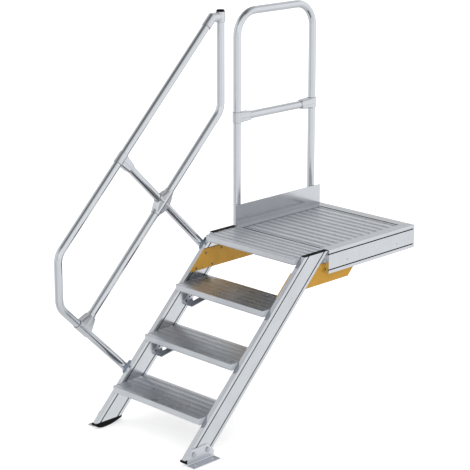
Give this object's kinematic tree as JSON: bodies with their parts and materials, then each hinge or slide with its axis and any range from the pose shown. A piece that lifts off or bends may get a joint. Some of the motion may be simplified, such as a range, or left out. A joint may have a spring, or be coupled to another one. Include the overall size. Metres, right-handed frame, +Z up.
{
  "type": "platform stairs",
  "caption": "Aluminium stair with ribbed treads between sloping stringers, a small platform on top, a tubular handrail along the climb and a guardrail hoop beside the platform.",
  "frame": {"origin": "centre of the rear face of the platform frame, the face that is bolted to a wall or a machine", "axes": "+Y along the climb, out of the rear face; +Z up; +X to the right of someone climbing, so the rails are on the -X side"},
  "size_m": [0.752, 1.8245, 1.949],
  "materials": {
    "stringer_aluminium": "satin",
    "frame_aluminium": "satin",
    "tread_aluminium": "satin",
    "plank_aluminium": "satin",
    "toe_board_aluminium": "satin",
    "rail_tube_aluminium": "polished",
    "fitting_aluminium": "satin",
    "clamp_steel": "satin",
    "floor_bracket_steel": "satin",
    "tread_bracket_steel": "satin",
    "gusset_coating": "satin",
    "black_plastic": "matte",
    "black_rubber": "matte"
  },
  "bodies": {
    "root": {"front_guard_sleeve": "fitting_aluminium", "front_platform_beam": "frame_aluminium", "guard_hoop": "rail_tube_aluminium", "guard_rail": "rail_tube_aluminium", "handrail": "rail_tube_aluminium", "handrail_elbow": "fitting_aluminium", "handrail_elbow_plug": "black_plastic", "handrail_tee": "fitting_aluminium", "knee_rail": "rail_tube_aluminium", "knee_rail_cross": "fitting_aluminium", "left_floor_bracket": "floor_bracket_steel", "left_gusset": "gusset_coating", "left_platform_frame": "frame_aluminium", "left_stringer": "stringer_aluminium", "left_stringer_cap": "black_plastic", "left_stringer_foot": "black_rubber", "lower_post_clamp": "clamp_steel", "lower_post_tee": "fitting_aluminium", "mid_post_clamp": "clamp_steel", "mid_post_lower": "rail_tube_aluminium", "mid_post_upper": "rail_tube_aluminium", "platform_plank_1": "plank_aluminium", "platform_plank_2": "plank_aluminium", "platform_plank_3": "plank_aluminium", "platform_plank_4": "plank_aluminium", "rear_guard_sleeve": "fitting_aluminium", "rear_platform_frame": "frame_aluminium", "right_floor_bracket": "floor_bracket_steel", "right_gusset": "gusset_coating", "right_platform_frame": "frame_aluminium", "right_stringer": "stringer_aluminium", "right_stringer_cap": "black_plastic", "right_stringer_foot": "black_rubber", "toe_board": "toe_board_aluminium", "top_step": "tread_aluminium", "tread_1": "tread_aluminium", "tread_2": "tread_aluminium", "tread_2_left_bracket": "tread_bracket_steel", "tread_2_right_bracket": "tread_bracket_steel", "tread_3": "tread_aluminium", "tread_3_left_bracket": "tread_bracket_steel", "tread_3_right_bracket": "tread_bracket_steel"}
  },
  "joints": []
}
